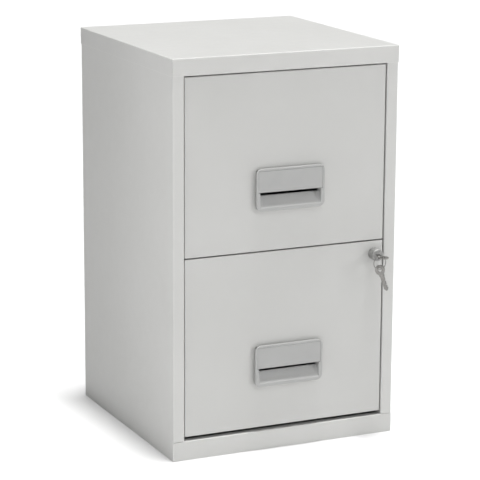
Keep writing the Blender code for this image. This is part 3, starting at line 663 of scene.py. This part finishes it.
def lock_catch(level):
    """Angle on the drawer's right side that the lock bar's tab blocks."""
    name = f"{level}_lock_catch"
    low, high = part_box(name)
    path = [(high.x, low.y + SKIN), (low.x + SKIN, low.y + SKIN), (low.x + SKIN, high.y)]
    return finish_piece(folded_sheet(f"{name}_steel", path, "Z", low.z, high.z), name)


# ---------------------------------------------------------------- handle

# Heights are counted from the handle's middle
HOOD_HALF_WIDTH = 57 * MM
HOOD_TOP = 31 * MM
HOOD_EDGE = -4.45 * MM
RECESS_HALF_WIDTH = 54 * MM
LIP_TOP = -28.5 * MM
RAMP_TOP = -10.9 * MM
RAMP_DEPTH = 11.5 * MM
THROUGH = 27 * MM
RIM_ROUND = 1.1 * MM
PLATE = 2.1 * MM
UNDERCUT = 2.4 * MM
INNER_ROUND = 1.1 * MM
CHEEK_ROUND = 7 * MM


def handle_shell(level):
    """Solid surround with rounded rims, before the pocket and the scoop are cut."""
    low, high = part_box(f"{level}_handle_housing")
    face = low.y
    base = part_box(f"{level}_front")[0].y - AIR
    x, _, z = handle_middle(level)
    half_width = high.x - x
    neck = face + PLATE
    rings = [(UNDERCUT, base), (UNDERCUT, neck + 0.8 * MM), (UNDERCUT - 0.8 * MM, neck), (0.3 * MM, neck),
             (0, neck - 0.3 * MM)]
    for step in range(6):
        angle = math.radians(90) * step / 5
        rings.append((RIM_ROUND * (1 - math.cos(angle)), face + RIM_ROUND * (1 - math.sin(angle))))
    sections = []
    for inset, y in rings:
        shape = rounded_rectangle(half_width - inset, high.z - z - inset, 10 * MM - inset)
        sections.append([Vector((x + px, y, z + pz)) for px, pz in shape])
    return loft(f"{level}_surround", sections)


def ramp_profile():
    """(height, depth) pairs up the middle of the scoop, from the lip to the slot behind the hood."""
    lip = [(LIP_TOP - 0.8 * MM, -0.05 * MM), (LIP_TOP - 0.7 * MM, 0.03 * MM), (LIP_TOP - 0.3 * MM, 0.16 * MM),
           (LIP_TOP + 0.2 * MM, 0.5 * MM), (LIP_TOP + 0.7 * MM, 1.0 * MM)]
    pairs = list(lip)
    start = lip[-1]
    for i in range(1, 13):
        t = i / 12
        bulge = 0.06 * t * (1 - t)
        height = start[0] + (RAMP_TOP - start[0]) * t
        pairs.append((height, start[1] + (RAMP_DEPTH - start[1]) * (t + bulge)))
    pairs.append((RAMP_TOP + 0.05 * MM, THROUGH))
    pairs.append((HOOD_EDGE + 1 * MM, THROUGH))
    return pairs


def scoop_columns():
    """(place across, rim rounding, share of the ramp's depth) for one side, from the rim inward."""
    columns = [(RECESS_HALF_WIDTH + INNER_ROUND, None, 0)]
    for step in range(1, 6):
        angle = math.radians(90) * step / 5
        across = RECESS_HALF_WIDTH + INNER_ROUND * (1 - math.sin(angle))
        columns.append((across, INNER_ROUND * (1 - math.cos(angle)), 0))
    for step in range(1, 13):
        angle = math.radians(90) * step / 12
        across = RECESS_HALF_WIDTH - CHEEK_ROUND * (1 - math.cos(angle))
        columns.append((across, INNER_ROUND, math.sin(angle)))
    return columns


def scoop(level):
    """The hollow that the fingers reach into, as a solid to cut away."""
    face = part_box(f"{level}_handle_housing")[0].y
    middle = handle_middle(level)
    half = scoop_columns()
    columns = half + [(-x, rim, share) for x, rim, share in reversed(half)]
    bm = bmesh.new()
    deep, shallow = [], []
    for height, depth in ramp_profile():
        row = []
        for x, rim, share in columns:
            if rim is None or depth < 0:
                reach = -0.05 * MM
            elif share == 0:
                reach = rim * min(1, depth / INNER_ROUND)
            else:
                reach = min(depth, INNER_ROUND) + max(depth - INNER_ROUND, 0) * share
            row.append(bm.verts.new((middle.x + x, face + reach, middle.z + height)))
        deep.append(row)
        near = (face - 2 * MM, middle.z + height)
        shallow.append([bm.verts.new((middle.x + x, *near)) for x, _, _ in columns])
    last = len(columns) - 1
    for i in range(len(deep) - 1):
        for j in range(last):
            for layer in (deep, shallow):
                bm.faces.new((layer[i][j], layer[i][j + 1], layer[i + 1][j + 1], layer[i + 1][j]))
        for j in (0, last):
            bm.faces.new((deep[i][j], deep[i + 1][j], shallow[i + 1][j], shallow[i][j]))
    for i in (0, len(deep) - 1):
        for j in range(last):
            bm.faces.new((deep[i][j], deep[i][j + 1], shallow[i][j + 1], shallow[i][j]))
    return as_object("scoop", bm)


def ramp_block(level):
    """The part of the surround behind the front, which the scoop turns into a ramp."""
    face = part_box(f"{level}_handle_housing")[0].y
    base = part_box(f"{level}_front")[0].y - AIR
    x, _, z = handle_middle(level)
    rear = face + RAMP_DEPTH + 1 * MM
    outline = [
        (base - 0.6 * MM, z + RAMP_TOP - 12.8 * MM),
        (rear, z + RAMP_TOP - 2.5 * MM),
        (rear, z + HOOD_EDGE),
        (base - 0.6 * MM, z + HOOD_EDGE),
    ]
    reach = HOOD_HALF_WIDTH + 0.4 * MM
    return prism("ramp_block", outline, "X", x - reach, x + reach)


def handle_housing(level):
    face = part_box(f"{level}_handle_housing")[0].y
    x, _, z = handle_middle(level)
    shell = handle_shell(level)
    join(shell, ramp_block(level))
    pocket = box("pocket", (x - HOOD_HALF_WIDTH, face - 1 * MM, z + HOOD_EDGE - AIR),
                 (x + HOOD_HALF_WIDTH, face + THROUGH, z + HOOD_TOP))
    cut(shell, pocket)
    cut(shell, scoop(level))
    return finish_piece(shell, f"{level}_handle_housing")


def handle_hood(level):
    """Panel that fills the surround above the scoop, with a rounded lip turned in to grip."""
    node = f"{level}_handle_hood"
    low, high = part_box(node)
    closer = 0.15 * MM
    face, edge, top = low.y - closer, low.z, high.z + closer
    wall = 2.4 * MM
    grip = 1.9 * MM
    section = arc((face + grip, edge + grip), grip, math.pi, 1.5 * math.pi, 7)
    section += [
        (high.y, edge),
        (high.y, edge + wall),
        (face + wall, edge + wall),
        (face + wall, top),
    ]
    section += arc((face + 0.9 * MM, top - 0.9 * MM), 0.9 * MM, math.pi / 2, math.pi, 5)
    hood = prism(f"{level}_hood", section, "X", low.x - closer, high.x + closer)
    return finish_piece(soften(hood, 0.45 * MM, 3, 60), node)


# ---------------------------------------------------------------- lock

LOCK_AT = centre_of("lock_barrel")
KEYHOLE_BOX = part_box("lock_barrel")
PLUG_RADIUS = 6.3 * MM
KEY_THICKNESS = 2 * MM
BLADE_HALF_WIDTH = 3.6 * MM
BOW_RADIUS = 8.5 * MM
BLADE_LENGTH = 27 * MM


def lock_barrel():
    """Fixed body: the stepped round head outside the front and the shank through it."""
    low, high = KEYHOLE_BOX
    head, rear = low.y, high.y
    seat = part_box("lower_front")[0].y - AIR
    bore = PLUG_RADIUS + 0.1 * MM
    outer = 10 * MM
    bevel = 1.2 * MM
    profile = [
        (bore, head + 0.3 * MM),
        (bore + 0.3 * MM, head),
        (7.7 * MM, head),
        (7.9 * MM, head + 0.35 * MM),
        (8.2 * MM, head + 0.35 * MM),
        (8.4 * MM, head),
    ]
    profile += [(outer - bevel + a, head + bevel + b) for a, b in arc((0, 0), bevel, -math.pi / 2, 0, 6)]
    profile += [
        (outer, seat - 1.6 * MM),
        (outer - 0.3 * MM, seat - 1.4 * MM),
        (outer - 0.3 * MM, seat - 1.1 * MM),
        (outer, seat - 0.9 * MM),
        (outer, seat),
        (8.6 * MM, seat),
    ]
    groove = seat + 2 * MM
    while groove < rear - 1 * MM:
        profile += [(8.6 * MM, groove), (8.3 * MM, groove + 0.35 * MM), (8.6 * MM, groove + 0.7 * MM)]
        groove += 0.9 * MM
    profile += [(8.6 * MM, rear), (bore, rear)]
    profile.append(profile[0])
    return finish_piece(turned("barrel", profile, "Y", (LOCK_AT.x, 0, LOCK_AT.z)), "lock_barrel")


def lock_nut():
    low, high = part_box("lock_nut")
    circle = 12.4 * MM
    chamfer = 0.6 * MM
    hexagon = turned("nut", [(circle, low.y), (circle, high.y)], "Y", (LOCK_AT.x, 0, LOCK_AT.z), 6)
    round_off = [(circle - chamfer, low.y - 0.01 * MM), (circle, low.y + chamfer), (circle, high.y - chamfer),
                 (circle - chamfer, high.y + 0.01 * MM)]
    trimmed = turned("nut_ends", round_off, "Y", (LOCK_AT.x, 0, LOCK_AT.z), 72)
    combine(hexagon, trimmed, "INTERSECT")
    bore = rod("bore", 8.7 * MM, "Y", (LOCK_AT.x, 0, LOCK_AT.z), low.y - 2 * MM, high.y + 2 * MM, 72)
    return finish_piece(cut(hexagon, bore), "lock_nut")


def lock_plug():
    """Turning plug with a level keyway in front and a square spigot behind."""
    low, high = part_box("lock_plug")
    at = Vector((LOCK_AT.x, 0, LOCK_AT.z))
    face = low.y
    rear = high.y - 4.8 * MM
    profile = [
        (4.9 * MM, face + 0.25 * MM),
        (5.1 * MM, face),
        (PLUG_RADIUS - 0.35 * MM, face),
        (PLUG_RADIUS - 0.1 * MM, face + 0.12 * MM),
        (PLUG_RADIUS, face + 0.4 * MM),
        (PLUG_RADIUS, rear),
    ]
    plug = turned("plug", profile, "Y", at)
    square = 3 * MM
    spigot_low = (at.x - square, rear - 1 * MM, at.z - square)
    spigot = box("spigot", spigot_low, (at.x + square, high.y, at.z + square))
    join(plug, spigot)
    half = BLADE_HALF_WIDTH + AIR
    thick = KEY_THICKNESS / 2 + AIR
    keyway_low = (at.x - half, face - 1 * MM, at.z - thick)
    keyway = box("keyway", keyway_low, (at.x + half, face + 17 * MM, at.z + thick))
    cut(plug, keyway)
    thread = rod("thread", 1.8 * MM, "Y", at, rear + 0.8 * MM, high.y + 4 * MM, 24)
    return finish_piece(cut(plug, thread), "lock_plug")


def lock_cam():
    """Stamped finger on the plug's spigot."""
    low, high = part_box("lock_cam")
    reach, hub, tip_radius = 16 * MM, 6 * MM, 4 * MM
    lean = math.acos((hub - tip_radius) / reach)
    outline = arc((0, 0), hub, lean, 2 * math.pi - lean, 40)
    outline += arc((reach, 0), tip_radius, -lean, lean, 16)
    turn = Matrix.Rotation(math.radians(-45), 2)
    outline = [turn @ Vector(point) for point in outline]
    cam = prism("cam", [(LOCK_AT.x + p.x, LOCK_AT.z + p.y) for p in outline], "Y", low.y, high.y)
    half = 3 * MM + AIR
    hole = box("hole", (LOCK_AT.x - half, low.y - 1 * MM, LOCK_AT.z - half),
               (LOCK_AT.x + half, high.y + 1 * MM, LOCK_AT.z + half))
    return finish_piece(soften(cut(cam, hole), 0.2 * MM), "lock_cam")


def cam_screw():
    """Pan-head screw with a cross recess."""
    low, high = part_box("cam_screw")
    at = (LOCK_AT.x, 0, LOCK_AT.z)
    seat = high.y - 2 * MM
    profile = [(1.5 * MM, low.y), (1.5 * MM, seat), (4.6 * MM, seat), (4.6 * MM, seat + 0.8 * MM),
               (4.4 * MM, seat + 1.3 * MM), (3.9 * MM, seat + 1.7 * MM), (3.0 * MM, seat + 1.92 * MM),
               (1.0 * MM, high.y)]
    screw = turned("screw", profile, "Y", at, 48)
    for a, b in ((0.5, 2.6), (2.6, 0.5)):
        corner = (at[0] - a * MM, seat + 1 * MM, at[2] - b * MM)
        cut(screw, box("cross", corner, (at[0] + a * MM, seat + 3 * MM, at[2] + b * MM)))
    return finish_piece(screw, "cam_screw")


def key_outline():
    """Flat key, its bow round the origin and its blade along +X."""
    neck = BLADE_HALF_WIDTH + 0.8 * MM
    opening = math.asin(neck / BOW_RADIUS)
    points = arc((0, 0), BOW_RADIUS, opening, 2 * math.pi - opening, 44)
    shoulder = BOW_RADIUS + 2.5 * MM
    tip = BOW_RADIUS + BLADE_LENGTH
    points += [(shoulder, -neck), (shoulder, -BLADE_HALF_WIDTH), (tip - 3 * MM, -BLADE_HALF_WIDTH)]
    points += [(tip, -1 * MM), (tip, 1 * MM), (tip - 3 * MM, BLADE_HALF_WIDTH)]
    for number, depth in enumerate((1.2, 2.0, 0.8, 1.6)):
        bite = tip - 5 * MM - number * 3.6 * MM
        points += [
            (bite, BLADE_HALF_WIDTH),
            (bite - 1.2 * MM, BLADE_HALF_WIDTH - depth * MM),
            (bite - 2.4 * MM, BLADE_HALF_WIDTH),
        ]
    points += [(shoulder, BLADE_HALF_WIDTH), (shoulder, neck)]
    return points


def key_blank(node, matrix):
    """A key with a pressed bow and milled blade, put in place by the matrix."""
    half = KEY_THICKNESS / 2
    key = prism(f"{node}_blank", key_outline(), "Z", -half, half)
    cut(key, rod("hole", 3.25 * MM, "Z", (0, 0, 0), -3 * MM, 3 * MM))
    soften(key, 0.22 * MM, 2, 30)
    for side in (-1, 1):
        near, far = span(side * (half - 0.2 * MM), side * (half + 1 * MM))
        ring = [(4.7 * MM, near), (7.2 * MM, near), (7.2 * MM, far), (4.7 * MM, far), (4.7 * MM, near)]
        cut(key, turned("bow_panel", ring, "Z", (0, 0, 0)))
        near, far = span(side * (half - 0.35 * MM), side * (half + 1 * MM))
        start, end = BOW_RADIUS + 4 * MM, BOW_RADIUS + BLADE_LENGTH + 1 * MM
        cut(key, box("groove", (start, -1.9 * MM, near), (end, -0.7 * MM, far)))
    key.data.transform(matrix)
    return finish_piece(key, node)


def keys():
    """One key pushed home in the lock, its bow level, and one that hangs from the ring."""
    inward = Matrix.Rotation(math.radians(90), 4, "Z")
    hole_at = Vector((LOCK_AT.x, KEYHOLE_BOX[0].y - 19 * MM, LOCK_AT.z))
    key_blank("key", Matrix.Translation(hole_at) @ inward)
    low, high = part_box("key_ring")
    middle = (low + high) / 2
    lowest = Vector((middle.x, middle.y, middle.z - 11 * MM))
    down = Matrix.Rotation(math.radians(90), 4, "Y")
    stand = Matrix.Rotation(math.radians(90), 4, "X")
    lean = Matrix.Rotation(math.radians(-22), 4, "Y")
    turn = Matrix.Rotation(math.radians(-50), 4, "Z")
    hang = Matrix.Translation((0, 0, -1.1 * MM))
    key_blank("spare_key", Matrix.Translation(lowest) @ turn @ lean @ hang @ down @ stand)


def key_ring():
    """Split ring: two turns of wire side by side."""
    middle = centre_of("key_ring")
    radius, wire, apart = 11 * MM, 0.46 * MM, 0.43 * MM
    turns, steps = 1.94, 150
    sections = []
    for i in range(steps + 1):
        angle = math.radians(80) + 2 * math.pi * turns * i / steps
        crossing = max(-1, min(1, (i / steps - 0.5) * 9))
        spoke = Vector((math.cos(angle), 0, math.sin(angle)))
        centre = middle + spoke * radius + Vector((0, apart * crossing, 0))
        circle = arc((0, 0), wire, 0, 2 * math.pi, 12)[:-1]
        sections.append([centre + spoke * a + Vector((0, b, 0)) for a, b in circle])
    return finish_piece(loft("split_ring", sections), "key_ring")


# ---------------------------------------------------------------- lock bar

def lock_bar():
    """Flat bar with a tab in front of each drawer's catch and an arm over the cam."""
    low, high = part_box("lock_bar")
    left, right, tab_height = 184 * MM, high.x, 8 * MM
    outline = [(right, low.z), (right, high.z), (left, high.z)]
    tabs = [(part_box(f"{level}_lock_catch")[0].z - 16 * MM, low.x) for level in ("upper", "lower")]
    arm = (LOCK_AT.z - 16 * MM * math.sin(math.radians(45)) + 5.3 * MM, LOCK_AT.x + 13.5 * MM)
    for bottom, reach in (tabs[0], arm, tabs[1]):
        outline += [
            (left, bottom + tab_height),
            (reach, bottom + tab_height),
            (reach, bottom),
            (left, bottom),
        ]
    outline.append((left, low.z))
    return finish_piece(soften(prism("bar", outline, "Y", low.y, high.y), 0.25 * MM), "lock_bar")


def lock_bar_guide(label):
    """Angle on the side panel with a window that the bar slides through."""
    name = f"lock_bar_guide_{label}"
    low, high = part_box(name)
    side_x, z = high.x - SKIN, low.z + SKIN
    path = [(side_x, high.z), (side_x, z), (low.x, z)]
    guide = folded_sheet(f"{name}_steel", path, "Y", low.y, high.y)
    bar_low, bar_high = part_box("lock_bar")
    play = 0.4 * MM
    window_low = (184 * MM - play, bar_low.y - play, z - 3 * MM)
    window = box("window", window_low, (bar_high.x + play, bar_high.y + play, z + 3 * MM))
    return finish_piece(cut(guide, window), name)


def make_pieces():
    for side, label in SIDES:
        side_panel(side, label)
    for make in (back_panel, top_lid, header_rail, base_panel, plinth_rail):
        make()
    for level in LEVELS:
        drawer_front(level)
        drawer_tray(f"{level}_floor", (2, -1))
        drawer_tray(f"{level}_back", (1, -1))
        lock_catch(level)
        handle_housing(level)
        handle_hood(level)
        for side, label in SIDES:
            runner(level, side, label)
            drawer_rail(level, side, label)
            drawer_wall(level, side, label)
            roller(f"runner_roller_{level}_{label}")
            roller(f"{level}_drawer_roller_{label}")
        lock_bar_guide(level)
    for make in (lock_barrel, lock_nut, lock_plug, lock_cam, cam_screw, keys, key_ring, lock_bar):
        make()


def dress_nodes():
    """Give every CAD node its material, also the ones that a finer piece stands for."""
    for name, obj in frame["nodes"].items():
        obj.data.materials.clear()
        obj.data.materials.append(MATERIALS[SLOT_OF[name]])
        obj.data.polygons.foreach_set("material_index", [0] * len(obj.data.polygons))


# ---------------------------------------------------------------- stage

def floor():
    size = 30.0
    bm = bmesh.new()
    bmesh.ops.create_grid(bm, x_segments=1, y_segments=1, size=size)
    mesh = bpy.data.meshes.new("floor")
    bm.to_mesh(mesh)
    bm.free()
    obj = bpy.data.objects.new("floor", mesh)
    bpy.context.scene.collection.objects.link(obj)
    n = Nodes("floor_look")
    colour = n.tint(n.spread(n.noise(2.0), 0, 1), (0.635, 0.635, 0.635), (0.645, 0.645, 0.645))
    mesh.materials.append(n.set(base_color=colour, roughness=0.9, specular_ior_level=0.0))


def camera():
    data = bpy.data.cameras.new("camera")
    data.sensor_width = 36.0
    data.lens = 163.12
    data.clip_end = 100.0
    obj = bpy.data.objects.new("camera", data)
    pan = Matrix.Rotation(math.radians(-24.822), 4, "Z")
    tilt = Matrix.Rotation(math.radians(76.756), 4, "X")
    roll = Matrix.Rotation(math.radians(0.288), 4, "Z")
    obj.matrix_world = Matrix.Translation((-1.5014, -3.2669, 1.1525)) @ pan @ tilt @ roll
    bpy.context.scene.collection.objects.link(obj)
    bpy.context.scene.camera = obj
    bpy.context.scene.view_settings.view_transform = "Standard"


def aim(obj, place, target):
    obj.location = place
    direction = Vector(target) - Vector(place)
    obj.rotation_euler = direction.to_track_quat("-Z", "Y").to_euler()


def area_light(name, place, target, size, power):
    data = bpy.data.lights.new(name, "AREA")
    data.shape = "RECTANGLE"
    data.size = size[0]
    data.size_y = size[1]
    data.energy = power
    obj = bpy.data.objects.new(name, data)
    bpy.context.scene.collection.objects.link(obj)
    aim(obj, place, target)
    return obj


def sun(name, direction, strength, angle):
    data = bpy.data.lights.new(name, "SUN")
    data.energy = strength
    data.angle = math.radians(angle)
    obj = bpy.data.objects.new(name, data)
    bpy.context.scene.collection.objects.link(obj)
    aim(obj, Vector(direction) * 5, (0, 0, 0))
    return obj


def world(strength):
    bpy.context.scene.world = bpy.data.worlds.new("studio")
    bpy.context.scene.world.use_nodes = True
    background = bpy.context.scene.world.node_tree.nodes["Background"]
    background.inputs["Color"].default_value = (1.0, 0.995, 0.985, 1)
    background.inputs["Strength"].default_value = strength


def studio():
    """A soft overhead, a key from the right, a weaker light from the left and a strip along the left side."""
    world(0.05)
    sun("overhead", (0.03, -0.02, 1.0), 4.6, 10)
    sun("top_front", (0.15, -0.60, 0.78), 0.75, 36)
    area_light("key", (2.6, -2.62, 1.35), (0, 0, 0.33), (1.2, 1.2), 38)
    area_light("left", (-0.9, -2.7, 0.45), (0, 0, 0.33), (0.8, 0.8), 12.5)
    strip = area_light("strip", (-0.55, -0.24, 0.33), (0, -0.24, 0.33), (0.08, 1.4), 1.25)
    strip.visible_camera = False


# ---------------------------------------------------------------- assembly

dress_nodes()
make_pieces()
floor()
studio()
camera()
